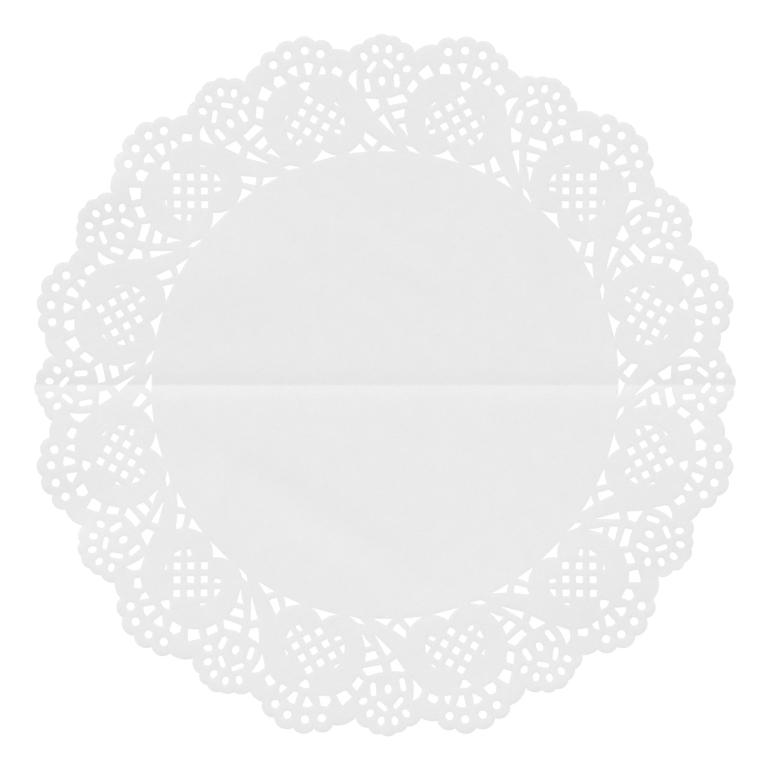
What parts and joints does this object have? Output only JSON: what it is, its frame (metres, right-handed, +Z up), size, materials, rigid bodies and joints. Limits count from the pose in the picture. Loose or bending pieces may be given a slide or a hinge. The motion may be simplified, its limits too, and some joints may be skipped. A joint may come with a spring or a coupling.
{
  "type": "paper doily",
  "caption": "Round die-cut white paper doily with a plain centre, a scalloped lace border and one fold line across the middle.",
  "frame": {"origin": "centre of the doily, on its underside", "axes": "+Z up through the paper, +X along the fold line, +Y towards the rear leaf"},
  "size_m": [0.2994, 0.2994, 0.0001],
  "materials": {
    "paper": "matt white uncoated paper"
  },
  "bodies": {
    "front_half": {"front_leaf": "paper"},
    "rear_half": {"rear_leaf": "paper"}
  },
  "joints": [
    {"name": "crease_fold", "type": "hinge", "parent": "front_half", "child": "rear_half", "pos_m": [0, 0, 0.00015], "axis": [1, 0, 0], "range_deg": [0, 170]}
  ]
}
